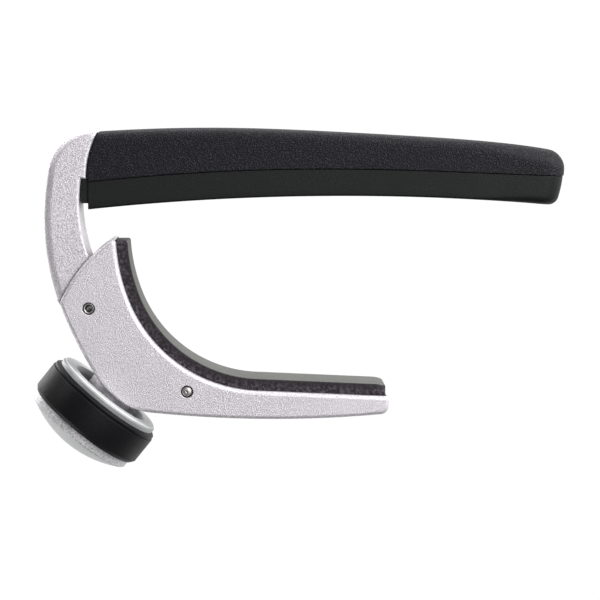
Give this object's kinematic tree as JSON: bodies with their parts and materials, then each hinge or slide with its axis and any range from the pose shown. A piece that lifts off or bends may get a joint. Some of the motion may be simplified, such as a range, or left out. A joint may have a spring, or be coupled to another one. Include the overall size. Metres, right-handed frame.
{
  "type": "guitar capo",
  "caption": "Screw-adjusted guitar capo: a covered string bar on a curved arm, a hinged padded neck jaw and a round micrometer knob that closes the jaw.",
  "frame": {"origin": "crown of the arched string face, mid-width: the point that presses on the middle of the fingerboard", "axes": "+X across the neck from the arm to the open mouth, +Y along the strings (the hinge axis), +Z out of the fingerboard, so the string face looks along -Z"},
  "size_m": [0.0856, 0.0202, 0.0549],
  "materials": {
    "arm_paint": "satin speckled powder coat",
    "cover_black": "fine leather grain",
    "pad_black": "matte",
    "carrier_black": "smooth",
    "neck_rubber": "matte",
    "jaw_paint": "satin speckled powder coat",
    "pin_steel": "turned",
    "brass": "turned",
    "nylon": "natural",
    "spring_steel": "drawn wire",
    "knob_metal": "satin silver",
    "grip_rubber": "matte"
  },
  "bodies": {
    "arm": {"upper_arm": "arm_paint", "top_cover": "cover_black", "string_pad": "pad_black", "pad_carrier": "carrier_black", "hinge_washers": "nylon"},
    "jaw": {"jaw_body": "jaw_paint", "neck_pad_plate": "carrier_black", "neck_pad": "neck_rubber", "hinge_pin": "pin_steel", "pad_pin": "pin_steel", "boss_bushing": "brass", "return_spring": "spring_steel"},
    "nut": {"nut_block": "brass"},
    "knob": {"adjusting_screw": "pin_steel", "screw_stop": "pin_steel", "thrust_washer": "nylon", "knob_hub": "knob_metal", "knob_grip": "grip_rubber", "knob_cap": "knob_metal"}
  },
  "joints": [
    {"name": "jaw_hinge", "type": "hinge", "parent": "arm", "child": "jaw", "pos_m": [-0.04055, 0, -0.01778], "axis": [0, -1, 0], "range_deg": [0, 9.34]},
    {"name": "knob_spin", "type": "hinge", "parent": "jaw", "child": "knob", "pos_m": [-0.04124, 0, -0.03654], "axis": [0.6304, 0, 0.7763], "range_deg": [0, 1440]},
    {"name": "nut_travel", "type": "slide", "parent": "jaw", "child": "nut", "axis": [-0.6304, 0, -0.7763], "range_m": [0, 0.002], "deforming": ["return_spring"]}
  ],
  "couplings": [
    {"joint": "jaw_hinge", "follows": "knob_spin", "ratio": 0.006483},
    {"joint": "nut_travel", "follows": "knob_spin", "m_per_rad": 0.000079577}
  ]
}
